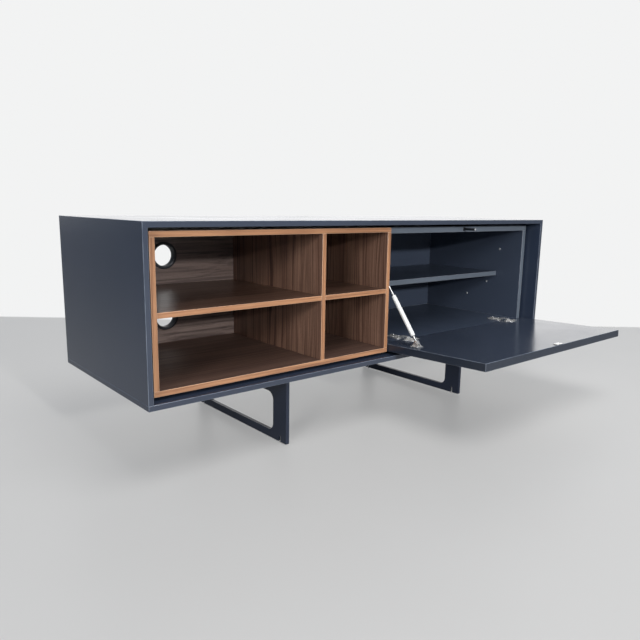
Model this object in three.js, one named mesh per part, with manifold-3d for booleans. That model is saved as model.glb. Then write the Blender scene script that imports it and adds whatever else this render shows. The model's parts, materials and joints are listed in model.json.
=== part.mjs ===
// A low media cabinet: a lacquered casing on two flat loop legs. Inside it stand two modules, a
// walnut one with a divider, shelves and cable outlets on the left, and on the right a lacquered
// carcass behind a drop-down flap with concealed hinges, a gas stay and a push latch.
//
// Millimetres, +Z up, front towards -Y. The flap is modelled open, as it rests on its stop.
// Everything is laid out from the casing's lower front left corner, and the outer group then moves
// the origin to the middle of the footprint, at floor level.

import * as THREE from 'three';
import { mergeVertices } from 'three/addons/utils/BufferGeometryUtils.js';
import Module from 'manifold-3d';

const wasm = await Module();
wasm.setup();

// ---------------------------------------------------------------- driving dimensions

const CASING_WIDTH = 1500;
const CASING_DEPTH = 520;
const CASING_HEIGHT = 400;
const CASING_BOARD = 13;      // top and bottom
const CASING_SIDE = 12;

const SHADOW_GAP = 8;         // above and below the modules
const MODULE_BOTTOM = CASING_BOARD + SHADOW_GAP;
const MODULE_TOP = CASING_HEIGHT - CASING_BOARD - SHADOW_GAP;
const MID_HEIGHT = (MODULE_BOTTOM + MODULE_TOP) / 2;

const WALNUT_LEFT = 24;
const WALNUT_RIGHT = 746;
const WALNUT_FRONT = 24;
const WALNUT_REAR = 470;
const WALNUT_BOARD = 13;
const WALNUT_BACK_FRONT = 454;
const WALNUT_BACK = 8;
const DIVIDER_LEFT = 494;

const OUTLET_X = 263;
const OUTLET_HEIGHTS = { upper: 289, lower: 111 };
const OUTLET_BORE = 30.5;
const OUTLET_BODY = 32.6;
const OUTLET_HOLE = 33;
const OUTLET_FLANGE = 39;

const CARCASS_LEFT = 754;
const CARCASS_RIGHT = 1478;
const CARCASS_FRONT = 51.5;
const CARCASS_REAR = 487;
const CARCASS_BOARD = 18;
const CARCASS_BACK_FRONT = 475;
const CARCASS_BACK = 8;
const CARCASS_SHELF = 16;
const CARCASS_SHELF_FRONT = 151;
const CARCASS_SHELF_TOP = 206.5;

const FLAP_LEFT = 750;
const FLAP_RIGHT = 1480;
const FLAP_THICKNESS = 22;
const FLAP_LENGTH = MODULE_TOP - MODULE_BOTTOM;
const FLAP_OPEN = THREE.MathUtils.degToRad(88);
const HINGE_X = { left: 850, right: 1380 };

const LEG_X = [385, 1105];    // left face of each plate
const LEG_PLATE = 10;
const LEG_FRONT = 30;
const LEG_LENGTH = 460;
const LEG_HEIGHT = 178;
const LEG_POST = 58;
const LEG_TOP_RAIL = 50;
const LEG_FOOT_RAIL = 21;
const GLIDE_PROUD = 3;

const LATCH_X = 1115;
const LATCH_REACH = 44.5;     // how far the released plunger stands out of the carcass

// ---------------------------------------------------------------- looks

const NAVY = { color: 0x3a414d, roughness: 0.55, metalness: 0 };
const NAVY_INSIDE = { color: 0x2b323d, roughness: 0.6, metalness: 0 };
const WALNUT = { color: 0x8a5f42, roughness: 0.55, metalness: 0 };
const WALNUT_DARK = { color: 0x5d443a, roughness: 0.6, metalness: 0 };
const LEG_PAINT = { color: 0x363f4e, roughness: 0.45, metalness: 0.3 };
const ZINC = { color: 0xb9bbbc, roughness: 0.3, metalness: 1 };
const STEEL = { color: 0xc9cccd, roughness: 0.2, metalness: 1 };
const WHITE_PAINT = { color: 0xe8ebe6, roughness: 0.35, metalness: 0 };
const BLACK_PLASTIC = { color: 0x1c1f24, roughness: 0.5, metalness: 0 };
const GREY_PLASTIC = { color: 0x8b9098, roughness: 0.5, metalness: 0 };
const SPACER = { color: 0x14161a, roughness: 0.8, metalness: 0 };

// ---------------------------------------------------------------- helpers

function piece(group, name, geometry, look) {
  const mesh = new THREE.Mesh(geometry, new THREE.MeshStandardMaterial(look));
  mesh.name = name;
  group.add(mesh);
  return mesh;
}

// A box between two corners.
function block(x0, x1, y0, y1, z0, z1) {
  const geometry = new THREE.BoxGeometry(x1 - x0, y1 - y0, z1 - z0);
  return geometry.translate((x0 + x1) / 2, (y0 + y1) / 2, (z0 + z1) / 2);
}

// A solid turned about +Z from a list of [radius, height] points.
function turned(profile, segments = 32) {
  const points = profile.map(([radius, height]) => new THREE.Vector2(radius, height));
  return new THREE.LatheGeometry(points, segments).rotateX(Math.PI / 2);
}

// A round bar about +Z.
function bar(radius, from, to, segments = 32) {
  return turned([[0, from], [radius, from], [radius, to], [0, to]], segments);
}

// Turns geometry made along +Z so that it runs along +X or +Y.
const alongX = (geometry) => geometry.rotateY(Math.PI / 2);
const alongY = (geometry) => geometry.rotateX(-Math.PI / 2);

// Extrudes an outline drawn in the YZ plane along +X, from x0.
function plateInYZ(shape, x0, thickness, curveSegments = 12) {
  const geometry = new THREE.ExtrudeGeometry(shape, {
    depth: thickness,
    bevelEnabled: false,
    curveSegments,
  });
  const toYZ = new THREE.Matrix4().makeBasis(
    new THREE.Vector3(0, 1, 0),
    new THREE.Vector3(0, 0, 1),
    new THREE.Vector3(1, 0, 0),
  );
  return geometry.applyMatrix4(toYZ).translate(x0, 0, 0);
}

function toSolid(geometry) {
  const bare = geometry.clone();
  bare.deleteAttribute('normal');
  bare.deleteAttribute('uv');
  const merged = mergeVertices(bare, 1e-4);
  return new wasm.Manifold(new wasm.Mesh({
    numProp: 3,
    vertProperties: new Float32Array(merged.attributes.position.array),
    triVerts: new Uint32Array(merged.index.array),
  }));
}

function toGeometry(solid) {
  const mesh = solid.getMesh();
  const geometry = new THREE.BufferGeometry();
  geometry.setAttribute('position', new THREE.BufferAttribute(mesh.vertProperties, 3));
  geometry.setIndex(new THREE.BufferAttribute(mesh.triVerts, 1));
  geometry.computeVertexNormals();
  return geometry;
}

// Cuts every tool out of a geometry.
function cut(geometry, ...tools) {
  return toGeometry(tools.reduce((solid, tool) => solid.subtract(toSolid(tool)), toSolid(geometry)));
}

function join(...geometries) {
  return toGeometry(geometries.map(toSolid).reduce((all, solid) => all.add(solid)));
}

// A rectangle with rounded corners, as a path or a shape.
function roundedRectangle(outline, u0, u1, v0, v1, radius) {
  outline.moveTo(u0 + radius, v0);
  outline.lineTo(u1 - radius, v0);
  outline.absarc(u1 - radius, v0 + radius, radius, -Math.PI / 2, 0, false);
  outline.lineTo(u1, v1 - radius);
  outline.absarc(u1 - radius, v1 - radius, radius, 0, Math.PI / 2, false);
  outline.lineTo(u0 + radius, v1);
  outline.absarc(u0 + radius, v1 - radius, radius, Math.PI / 2, Math.PI, false);
  outline.lineTo(u0, v0 + radius);
  outline.absarc(u0 + radius, v0 + radius, radius, Math.PI, 1.5 * Math.PI, false);
  return outline;
}

// ---------------------------------------------------------------- casing and legs

// The top and bottom boards run over the ends of the two side boards.
function casing() {
  const group = new THREE.Group();
  const top = CASING_HEIGHT - CASING_BOARD;
  const right = CASING_WIDTH - CASING_SIDE;
  piece(group, 'casing_top', block(0, CASING_WIDTH, 0, CASING_DEPTH, top, CASING_HEIGHT), NAVY);
  piece(group, 'casing_bottom', block(0, CASING_WIDTH, 0, CASING_DEPTH, 0, CASING_BOARD), NAVY);
  piece(group, 'casing_left_side', block(0, CASING_SIDE, 0, CASING_DEPTH, CASING_BOARD, top), NAVY);
  piece(group, 'casing_right_side',
    block(right, CASING_WIDTH, 0, CASING_DEPTH, CASING_BOARD, top), NAVY);
  return group;
}

// Strips set back under the modules, which hold them up off the casing's bottom board.
function spacers() {
  const group = new THREE.Group();
  const inset = 30;
  const width = 30;
  const modules = {
    walnut: [WALNUT_LEFT + inset, WALNUT_RIGHT - inset],
    carcass: [CARCASS_LEFT + inset, CARCASS_RIGHT - inset],
  };
  const fronts = { front: 100, rear: 410 };
  for (const [moduleName, [x0, x1]] of Object.entries(modules)) {
    for (const [place, y] of Object.entries(fronts)) {
      piece(group, `${moduleName}_spacer_${place}`,
        block(x0, x1, y, y + width, CASING_BOARD, MODULE_BOTTOM), SPACER);
    }
  }
  return group;
}

const FOOT_SLOT = { width: 9, height: 17 };
const STUD_HOLE = { radius: 3.1, depth: 26 };
const footCentres = [LEG_FRONT + LEG_POST / 2, LEG_FRONT + LEG_LENGTH - LEG_POST / 2];

// A closed loop cut from one flat plate. Each foot has a slot that shows its levelling stud.
function legPlate(x0) {
  const rear = LEG_FRONT + LEG_LENGTH;
  const innerRadius = 22;
  const outline = roundedRectangle(new THREE.Shape(), LEG_FRONT, rear, -LEG_HEIGHT, 0, 1.5);
  outline.holes.push(roundedRectangle(new THREE.Path(), LEG_FRONT + LEG_POST, rear - LEG_POST,
    -LEG_HEIGHT + LEG_FOOT_RAIL, -LEG_TOP_RAIL, innerRadius));
  const middle = x0 + LEG_PLATE / 2;
  const tools = footCentres.flatMap((y) => [
    block(x0 - 1, x0 + LEG_PLATE + 1, y - FOOT_SLOT.width / 2, y + FOOT_SLOT.width / 2,
      -LEG_HEIGHT - 1, -LEG_HEIGHT + FOOT_SLOT.height),
    bar(STUD_HOLE.radius, -LEG_HEIGHT + FOOT_SLOT.height - 1,
      -LEG_HEIGHT + FOOT_SLOT.height + STUD_HOLE.depth).translate(middle, y, 0),
  ]);
  return cut(plateInYZ(outline, x0, LEG_PLATE, 8), ...tools);
}

// A levelling glide: a small foot on a threaded stud.
function glide() {
  const floor = -LEG_HEIGHT - GLIDE_PROUD;
  const foot = 4.2;
  const stud = 2.8;
  const studTop = -LEG_HEIGHT + FOOT_SLOT.height + 18;
  return turned([
    [0, floor], [foot - 0.6, floor], [foot, floor + 0.6], [foot, floor + 6],
    [stud, floor + 6], [stud, studTop], [0, studTop],
  ], 24);
}

function legs() {
  const group = new THREE.Group();
  const sides = ['left', 'right'];
  const ends = ['front', 'rear'];
  sides.forEach((side, i) => {
    piece(group, `leg_${side}`, legPlate(LEG_X[i]), LEG_PAINT);
    ends.forEach((end, j) => {
      const mesh = piece(group, `glide_${side}_${end}`, glide(), ZINC);
      mesh.position.set(LEG_X[i] + LEG_PLATE / 2, footCentres[j], 0);
    });
  });
  return group;
}

// ---------------------------------------------------------------- walnut module

function walnutModule() {
  const group = new THREE.Group();
  const innerLeft = WALNUT_LEFT + WALNUT_BOARD;
  const innerRight = WALNUT_RIGHT - WALNUT_BOARD;
  const innerBottom = MODULE_BOTTOM + WALNUT_BOARD;
  const innerTop = MODULE_TOP - WALNUT_BOARD;
  const dividerRight = DIVIDER_LEFT + WALNUT_BOARD;
  const shelfBottom = MID_HEIGHT - WALNUT_BOARD / 2;
  const shelfTop = MID_HEIGHT + WALNUT_BOARD / 2;
  const board = (name, x0, x1, z0, z1, rear = WALNUT_REAR) => {
    piece(group, name, block(x0, x1, WALNUT_FRONT, rear, z0, z1), WALNUT);
  };
  board('walnut_top', WALNUT_LEFT, WALNUT_RIGHT, innerTop, MODULE_TOP);
  board('walnut_bottom', WALNUT_LEFT, WALNUT_RIGHT, MODULE_BOTTOM, innerBottom);
  board('walnut_left_side', WALNUT_LEFT, innerLeft, innerBottom, innerTop);
  board('walnut_right_side', innerRight, WALNUT_RIGHT, innerBottom, innerTop);
  board('walnut_divider', DIVIDER_LEFT, dividerRight, innerBottom, innerTop, WALNUT_BACK_FRONT);
  board('walnut_shelf_left', innerLeft, DIVIDER_LEFT, shelfBottom, shelfTop, WALNUT_BACK_FRONT);
  board('walnut_shelf_right', dividerRight, innerRight, shelfBottom, shelfTop, WALNUT_BACK_FRONT);

  const outletHoles = Object.values(OUTLET_HEIGHTS).map((z) => alongY(bar(OUTLET_HOLE, -20, 20, 48))
    .translate(OUTLET_X, WALNUT_BACK_FRONT, z));
  const back = block(innerLeft, innerRight, WALNUT_BACK_FRONT, WALNUT_BACK_FRONT + WALNUT_BACK,
    innerBottom, innerTop);
  piece(group, 'walnut_back', cut(back, ...outletHoles), WALNUT_DARK);

  for (const [place, z] of Object.entries(OUTLET_HEIGHTS)) {
    const mesh = piece(group, `cable_outlet_${place}`, cableOutlet(), BLACK_PLASTIC);
    mesh.position.set(OUTLET_X, WALNUT_BACK_FRONT, z);
  }
  return group;
}

// A flanged plastic ring that lines the hole in the back. Its flange lies on the front face.
function cableOutlet() {
  const flange = 2.6;
  const clear = 0.3;
  const tail = WALNUT_BACK + 10;
  return alongY(turned([
    [OUTLET_BORE, -flange + 0.8], [OUTLET_BORE + 0.8, -flange], [OUTLET_FLANGE - 1, -flange],
    [OUTLET_FLANGE, -flange + 1], [OUTLET_FLANGE, -clear], [OUTLET_BODY, -clear],
    [OUTLET_BODY, tail], [OUTLET_BORE, tail], [OUTLET_BORE, -flange + 0.8],
  ], 48));
}

// ---------------------------------------------------------------- carcass behind the flap

const carcassInnerLeft = CARCASS_LEFT + CARCASS_BOARD;
const carcassInnerRight = CARCASS_RIGHT - CARCASS_BOARD;
const carcassInnerBottom = MODULE_BOTTOM + CARCASS_BOARD;
const carcassInnerTop = MODULE_TOP - CARCASS_BOARD;

const SHELF_PIN = { radius: 2.5, hole: 2.8, depth: 10, reach: 8 };
const shelfPinDepths = { front: 190, rear: 430 };
const shelfPinHeight = CARCASS_SHELF_TOP - CARCASS_SHELF - SHELF_PIN.radius;

const CAP = { radius: 3.8, proud: 1.2, stem: 2.3, hole: 2.6, depth: 8 };
const capPlaces = [[142, 289], [191, 163], [277, 108]];

const latchHeight = carcassInnerTop + CARCASS_BOARD / 2;
const LATCH_SLEEVE = { radius: 5.2, bore: 4.1, length: 58, flange: 6.6 };

function carcass() {
  const group = new THREE.Group();
  const pinTools = (wall) => Object.values(shelfPinDepths).map((y) => alongX(
    bar(SHELF_PIN.hole, -SHELF_PIN.depth - 0.5, SHELF_PIN.depth, 20),
  ).translate(wall, y, shelfPinHeight));
  const capTools = capPlaces.map(([y, z]) => alongX(bar(CAP.hole, -4, CAP.depth + 0.5, 20))
    .translate(carcassInnerRight, y, z));
  const latchTool = alongY(bar(LATCH_SLEEVE.radius + 0.3, -1, LATCH_SLEEVE.length + 2))
    .translate(LATCH_X, CARCASS_FRONT, latchHeight);

  const top = block(CARCASS_LEFT, CARCASS_RIGHT, CARCASS_FRONT, CARCASS_REAR,
    carcassInnerTop, MODULE_TOP);
  piece(group, 'carcass_top', cut(top, latchTool), NAVY_INSIDE);
  piece(group, 'carcass_bottom', block(CARCASS_LEFT, CARCASS_RIGHT, CARCASS_FRONT, CARCASS_REAR,
    MODULE_BOTTOM, carcassInnerBottom), NAVY_INSIDE);
  const left = block(CARCASS_LEFT, carcassInnerLeft, CARCASS_FRONT, CARCASS_REAR,
    carcassInnerBottom, carcassInnerTop);
  piece(group, 'carcass_left_side', cut(left, ...pinTools(carcassInnerLeft)), NAVY_INSIDE);
  const right = block(carcassInnerRight, CARCASS_RIGHT, CARCASS_FRONT, CARCASS_REAR,
    carcassInnerBottom, carcassInnerTop);
  piece(group, 'carcass_right_side',
    cut(right, ...pinTools(carcassInnerRight), ...capTools), NAVY_INSIDE);
  piece(group, 'carcass_back', block(carcassInnerLeft, carcassInnerRight, CARCASS_BACK_FRONT,
    CARCASS_BACK_FRONT + CARCASS_BACK, carcassInnerBottom, carcassInnerTop), NAVY_INSIDE);
  piece(group, 'carcass_shelf', block(carcassInnerLeft + 1, carcassInnerRight - 1,
    CARCASS_SHELF_FRONT, CARCASS_BACK_FRONT - 2,
    CARCASS_SHELF_TOP - CARCASS_SHELF, CARCASS_SHELF_TOP), NAVY_INSIDE);

  for (const [place, y] of Object.entries(shelfPinDepths)) {
    const left = alongX(bar(SHELF_PIN.radius, -SHELF_PIN.depth, SHELF_PIN.reach, 20));
    const right = alongX(bar(SHELF_PIN.radius, -SHELF_PIN.reach, SHELF_PIN.depth, 20));
    piece(group, `shelf_pin_left_${place}`, left, STEEL)
      .position.set(carcassInnerLeft, y, shelfPinHeight);
    piece(group, `shelf_pin_right_${place}`, right, STEEL)
      .position.set(carcassInnerRight, y, shelfPinHeight);
  }

  capPlaces.forEach(([y, z], i) => {
    piece(group, `blanking_cap_${i + 1}`, blankingCap(), GREY_PLASTIC)
      .position.set(carcassInnerRight, y, z);
  });
  return group;
}

// A small cap pressed into a spare fixing hole, its head against the wall.
function blankingCap() {
  const head = -0.3 - CAP.proud;
  return alongX(turned([
    [0, head], [CAP.radius - 0.6, head], [CAP.radius, head + 0.6], [CAP.radius, -0.3],
    [CAP.stem, -0.3], [CAP.stem, CAP.depth], [0, CAP.depth],
  ], 20));
}

// ---------------------------------------------------------------- push latch

const LATCH_MAGNET = 3;

// A sleeve bored into the carcass's top board holds a spring-loaded plunger with a magnet tip.
function latch() {
  const group = new THREE.Group();
  group.position.set(LATCH_X, CARCASS_FRONT, latchHeight);
  const { radius, bore, length, flange } = LATCH_SLEEVE;
  const sleeve = alongY(turned([
    [bore, -1.8], [flange - 0.6, -1.8], [flange, -1.2], [flange, -0.3], [radius, -0.3],
    [radius, length], [0, length], [0, length - 1.5], [bore, length - 1.5], [bore, -1.8],
  ]));
  const plunger = alongY(turned([
    [0, -LATCH_REACH + LATCH_MAGNET + 0.3], [3.8, -LATCH_REACH + LATCH_MAGNET + 0.3],
    [3.8, 14], [0, 14],
  ]));
  const magnet = alongY(turned([
    [0, -LATCH_REACH], [3.5, -LATCH_REACH], [3.9, -LATCH_REACH + 0.4],
    [3.9, -LATCH_REACH + LATCH_MAGNET], [0, -LATCH_REACH + LATCH_MAGNET],
  ]));
  piece(group, 'latch_sleeve', sleeve, BLACK_PLASTIC);
  piece(group, 'latch_plunger', plunger, BLACK_PLASTIC);
  piece(group, 'latch_magnet', magnet, STEEL);
  return group;
}

// ---------------------------------------------------------------- flap and hinges

// The flap turns about an axis through the middle of its thickness. Its group has the cabinet's
// axes when it is closed: +Z runs up the flap and +Y points into the cabinet.
const PIVOT_FROM_EDGE = FLAP_THICKNESS / 2;
const flapAxis = {
  y: WALNUT_FRONT + FLAP_THICKNESS / 2,
  z: MODULE_BOTTOM + PIVOT_FROM_EDGE,
};
const flapFace = FLAP_THICKNESS / 2;
const CUP = { bore: 17.8, body: 17.5, mouth: 16.5, floor: -3.3, flange: 1.2, z: 10.5 };
const STAY_X = 781;
const stayFoot = { y: flapFace + 12, z: 93 };     // the stay's lower pin, in the flap's group

function flap() {
  const group = new THREE.Group();
  group.position.set(0, flapAxis.y, flapAxis.z);
  group.rotation.x = FLAP_OPEN;

  const panel = block(FLAP_LEFT, FLAP_RIGHT, -flapFace, flapFace,
    -PIVOT_FROM_EDGE, FLAP_LENGTH - PIVOT_FROM_EDGE);
  const cupBores = Object.values(HINGE_X).map((x) => alongY(
    bar(CUP.bore, CUP.floor - 1.3, flapFace + 5, 40),
  ).translate(x, 0, CUP.z));
  piece(group, 'flap_door', cut(panel, ...cupBores), NAVY);

  for (const [side, x] of Object.entries(HINGE_X)) {
    piece(group, `hinge_cup_${side}`, hingeCup(), ZINC).position.set(x, 0, CUP.z);
  }

  const strikeZ = latchHeight - flapAxis.z;
  piece(group, 'latch_strike_plate', block(LATCH_X - 15, LATCH_X + 15, flapFace + 0.3,
    flapFace + 1.8, strikeZ - 8, strikeZ + 7), ZINC);

  piece(group, 'stay_flap_bracket', stayFlapBracket(), ZINC);
  piece(group, 'stay_lower_pin', alongX(turned([
    [0, -6.3], [3.8, -6.3], [3.8, -5.6], [2.5, -5.6], [2.5, 5.6], [3.8, 5.6], [3.8, 6.3], [0, 6.3],
  ], 24)), STEEL).position.set(STAY_X, stayFoot.y, stayFoot.z);
  return group;
}

// A pressed cup let into the flap, with a screw flange that lies on the flap's inner face.
function hingeCup() {
  const under = flapFace + 0.3;
  const over = under + CUP.flange;
  const cup = alongY(turned([
    [0, CUP.floor - 1], [CUP.body, CUP.floor - 1], [CUP.body, under], [20.5, under],
    [20.5, over], [CUP.mouth, over], [CUP.mouth, CUP.floor], [0, CUP.floor],
  ], 40));
  const screwEar = (side) => block(Math.min(side * 17, side * 29), Math.max(side * 17, side * 29),
    under, over, -7, 7);
  return join(cup, screwEar(-1), screwEar(1));
}

// A cranked arm from the cup's knuckle, over the flap's edge, to a plate on the carcass floor.
function hingeArm() {
  const half = 2.8;
  const shape = new THREE.Shape();
  shape.moveTo(-half, 0);
  shape.absarc(0, 0, half, Math.PI, 2 * Math.PI, false);
  shape.lineTo(half, 15.5);
  shape.lineTo(25, 15.5);
  shape.lineTo(30.5, 11.5);
  shape.lineTo(72, 11.5);
  shape.lineTo(72, 14.5);
  shape.lineTo(32, 14.5);
  shape.lineTo(26, 18.5);
  shape.lineTo(0, 18.5);
  shape.lineTo(-half, 16);
  return plateInYZ(shape, -6, 12, 8).translate(0, flapAxis.y, flapAxis.z);
}

function hinges() {
  const group = new THREE.Group();
  for (const [side, x] of Object.entries(HINGE_X)) {
    piece(group, `hinge_arm_${side}`, hingeArm(), ZINC).position.x = x;
    const plate = block(-17, 17, 63, 112, carcassInnerBottom + 0.3, carcassInnerBottom + 4.2);
    piece(group, `hinge_plate_${side}`, plate, ZINC).position.x = x;
  }
  return group;
}

// ---------------------------------------------------------------- gas stay

const stayTop = { y: 122, z: 288 };               // the stay's upper pin, on the carcass wall
const EYE = { radius: 5.5, hole: 2.8, thickness: 5 };
const TUBE = { from: 23, to: 156, radius: 6.5, bore: 5.6, guide: 6 };
const PISTON = 4;

// Where the lower pin comes to rest with the flap open.
function stayFootAtRest() {
  const c = Math.cos(FLAP_OPEN);
  const s = Math.sin(FLAP_OPEN);
  return {
    y: flapAxis.y + stayFoot.y * c - stayFoot.z * s,
    z: flapAxis.z + stayFoot.y * s + stayFoot.z * c,
  };
}

// An upright ear of the flap bracket: a foot as wide as the base, tapering up round the pin.
function bracketEar(x0) {
  const base = flapFace + 0.3;
  const shape = new THREE.Shape();
  shape.moveTo(base, stayFoot.z - 12);
  shape.lineTo(base + 3, stayFoot.z - 12);
  shape.lineTo(stayFoot.y, stayFoot.z - 6);
  shape.absarc(stayFoot.y, stayFoot.z, 6, -Math.PI / 2, Math.PI / 2, false);
  shape.lineTo(base + 3, stayFoot.z + 12);
  shape.lineTo(base, stayFoot.z + 12);
  const hole = new THREE.Path();
  hole.absarc(stayFoot.y, stayFoot.z, EYE.hole, 0, 2 * Math.PI, true);
  shape.holes.push(hole);
  return plateInYZ(shape, x0, 2, 10);
}

function stayFlapBracket() {
  const base = block(STAY_X - 12, STAY_X + 12, flapFace + 0.3, flapFace + 2.1,
    stayFoot.z - 15, stayFoot.z + 14);
  return join(base, bracketEar(STAY_X - 5.3), bracketEar(STAY_X + 3.3));
}

// A flat eye on a round neck. The neck runs along +Z, and the eye's hole along +X.
function eyeFitting(neckLength, neckRadius) {
  const eye = alongX(bar(EYE.radius, -EYE.thickness / 2, EYE.thickness / 2, 28));
  const neck = bar(neckRadius, EYE.hole + 1, neckLength, 24);
  const hole = alongX(bar(EYE.hole, -8, 8, 24));
  return cut(join(eye, neck), hole);
}

// The stay runs along its group's +Z, from the lower pin to the upper one.
function gasStay() {
  const foot = stayFootAtRest();
  const run = { y: stayTop.y - foot.y, z: stayTop.z - foot.z };
  const length = Math.hypot(run.y, run.z);
  const group = new THREE.Group();
  group.position.set(STAY_X, foot.y, foot.z);
  group.rotation.x = -Math.atan2(run.y, run.z);

  const { from, to, radius, bore, guide } = TUBE;
  piece(group, 'stay_tube', turned([
    [0, from], [radius - 1, from], [radius, from + 1], [radius, to - 1.5], [radius - 1.5, to],
    [3.3, to], [3.3, to - guide], [bore, to - guide], [bore, from + 2], [0, from + 2],
  ]), WHITE_PAINT);
  piece(group, 'stay_tube_eye', eyeFitting(from - 0.3, 2.9), ZINC);

  const rodFoot = to - guide - PISTON - 0.5;
  const rodTop = length - 14;
  piece(group, 'stay_rod', turned([
    [0, rodFoot], [bore - 0.3, rodFoot], [bore - 0.3, rodFoot + PISTON], [3, rodFoot + PISTON],
    [3, rodTop], [0, rodTop],
  ]), STEEL);
  const rodEye = eyeFitting(13.7, 3.8);
  rodEye.rotateX(Math.PI);
  piece(group, 'stay_rod_eye', rodEye, ZINC).position.z = length;
  piece(group, 'stay_upper_pin', alongX(turned([
    [0, -6.3], [2.5, -6.3], [2.5, 3], [3.8, 3], [3.8, 4], [0, 4],
  ], 24)), STEEL).position.z = length;
  return group;
}

// The wall plate beside the stay's upper pin.
function stayWallBracket() {
  const shape = roundedRectangle(new THREE.Shape(), stayTop.y - 11, stayTop.y + 11,
    stayTop.z - 19, stayTop.z + 19, 5);
  return plateInYZ(shape, carcassInnerLeft, 2.2, 6);
}

// ---------------------------------------------------------------- the whole cabinet

const cabinet = new THREE.Group();
cabinet.name = 'media_cabinet';
cabinet.add(casing(), spacers(), legs(), walnutModule(), carcass(), latch(), flap(), hinges(),
  gasStay());
piece(cabinet, 'stay_wall_bracket', stayWallBracket(), ZINC);

// The footprint runs from the open flap's lower front edge to the casing's rear edge.
const flapReach = (FLAP_LENGTH - PIVOT_FROM_EDGE) * Math.sin(FLAP_OPEN)
  + flapFace * Math.cos(FLAP_OPEN);
const footprintFront = flapAxis.y - flapReach;
cabinet.position.set(
  -CASING_WIDTH / 2,
  -(footprintFront + CASING_DEPTH) / 2,
  LEG_HEIGHT + GLIDE_PROUD,
);

export default cabinet;
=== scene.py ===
"""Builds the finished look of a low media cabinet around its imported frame: a lacquered casing on
loop legs, a walnut module, and a compartment behind a drop-down flap with a gas stay."""

import json
import math

import bmesh
import bpy
from bpy.props import FloatProperty, FloatVectorProperty, IntProperty, PointerProperty
from mathutils import Matrix, Vector

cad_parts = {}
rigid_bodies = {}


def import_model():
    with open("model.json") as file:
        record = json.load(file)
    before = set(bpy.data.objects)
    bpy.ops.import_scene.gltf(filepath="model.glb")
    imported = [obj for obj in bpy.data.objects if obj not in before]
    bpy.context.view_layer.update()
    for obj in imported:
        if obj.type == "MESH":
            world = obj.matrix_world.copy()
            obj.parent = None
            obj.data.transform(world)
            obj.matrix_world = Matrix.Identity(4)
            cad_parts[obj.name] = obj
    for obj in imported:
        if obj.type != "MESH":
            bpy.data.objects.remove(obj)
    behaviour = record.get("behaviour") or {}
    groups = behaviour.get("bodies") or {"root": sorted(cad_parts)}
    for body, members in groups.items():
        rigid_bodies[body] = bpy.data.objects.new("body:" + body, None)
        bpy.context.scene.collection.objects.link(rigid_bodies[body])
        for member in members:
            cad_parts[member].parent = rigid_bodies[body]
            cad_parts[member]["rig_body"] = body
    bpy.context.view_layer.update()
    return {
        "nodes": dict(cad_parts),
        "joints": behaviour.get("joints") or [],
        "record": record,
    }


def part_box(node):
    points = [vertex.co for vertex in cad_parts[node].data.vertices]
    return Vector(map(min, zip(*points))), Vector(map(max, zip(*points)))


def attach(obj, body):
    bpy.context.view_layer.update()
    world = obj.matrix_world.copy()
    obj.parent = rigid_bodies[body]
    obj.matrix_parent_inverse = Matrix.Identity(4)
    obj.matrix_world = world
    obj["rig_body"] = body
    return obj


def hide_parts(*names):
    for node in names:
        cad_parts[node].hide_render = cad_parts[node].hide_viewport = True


bl_info = {
    "name": "Media Cabinet",
    "version": (1, 0, 0),
    "blender": (4, 5, 0),
    "location": "3D View > Sidebar > Cabinet",
    "description": "Builds a media cabinet with a walnut module and a drop-down flap",
    "category": "Add Mesh",
}

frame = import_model()
NODES = frame["nodes"]
JOINTS = {joint["name"]: joint for joint in frame["joints"]}
SLOTS = {part["node"]: part["material_slot"] for part in frame["record"]["subparts"]}

MM = 0.001
X, Y, Z = Vector((1, 0, 0)), Vector((0, 1, 0)), Vector((0, 0, 1))
IDENTITY = Matrix.Identity(4)

TOUCHING = 0.00001  # two places nearer than this are the same place
MERGE_DISTANCE = 0.000002
SHARP = math.radians(30)  # a fitting's edges that are sharper than this are rounded
CREASED = math.radians(35)  # edges that are sharper than this are not shaded smooth


# ------------------------------------------------------------------ places taken from the frame

def joint_point(name):
    return Vector(JOINTS[name]["pos_m"])


def joint_range(name):
    return math.radians(JOINTS[name]["range_deg"][1])


def box_in(node, matrix=IDENTITY):
    """Lowest and highest corner of a node's solid after it has been moved by a matrix."""
    points = [matrix @ vertex.co for vertex in NODES[node].data.vertices]
    low = Vector(min(point[i] for point in points) for i in range(3))
    high = Vector(max(point[i] for point in points) for i in range(3))
    return low, high


def middle(node):
    low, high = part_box(node)
    return (low + high) / 2


# The flap's pieces are made with the flap shut and are then turned open about its hinges.
FLAP_PIVOT = joint_point("flap_hinge")
FLAP_OPEN = (Matrix.Translation(FLAP_PIVOT)
             @ Matrix.Rotation(joint_range("flap_hinge"), 4, "X")
             @ Matrix.Translation(-FLAP_PIVOT))
FLAP_SHUT = FLAP_OPEN.inverted()

# The gas stay's pieces are made along +Z from its lower pin, and are then turned to its slope.
STAY_FOOT = joint_point("stay_swing")
STAY_RUN = -Vector(JOINTS["stay_slide"]["axis"])
ALONG_STAY = (Matrix.Translation(STAY_FOOT)
              @ Matrix.Rotation(-math.atan2(STAY_RUN.y, STAY_RUN.z), 4, "X"))
OFF_STAY = ALONG_STAY.inverted()


# ------------------------------------------------------------------ settings

def colour(name, description, default):
    return FloatVectorProperty(name=name, description=description, subtype="COLOR",
                               size=3, min=0, max=1, default=default)


def distance(name, description, default):
    return FloatProperty(name=name, description=description, subtype="DISTANCE",
                         unit="LENGTH", min=0, default=default)


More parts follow.
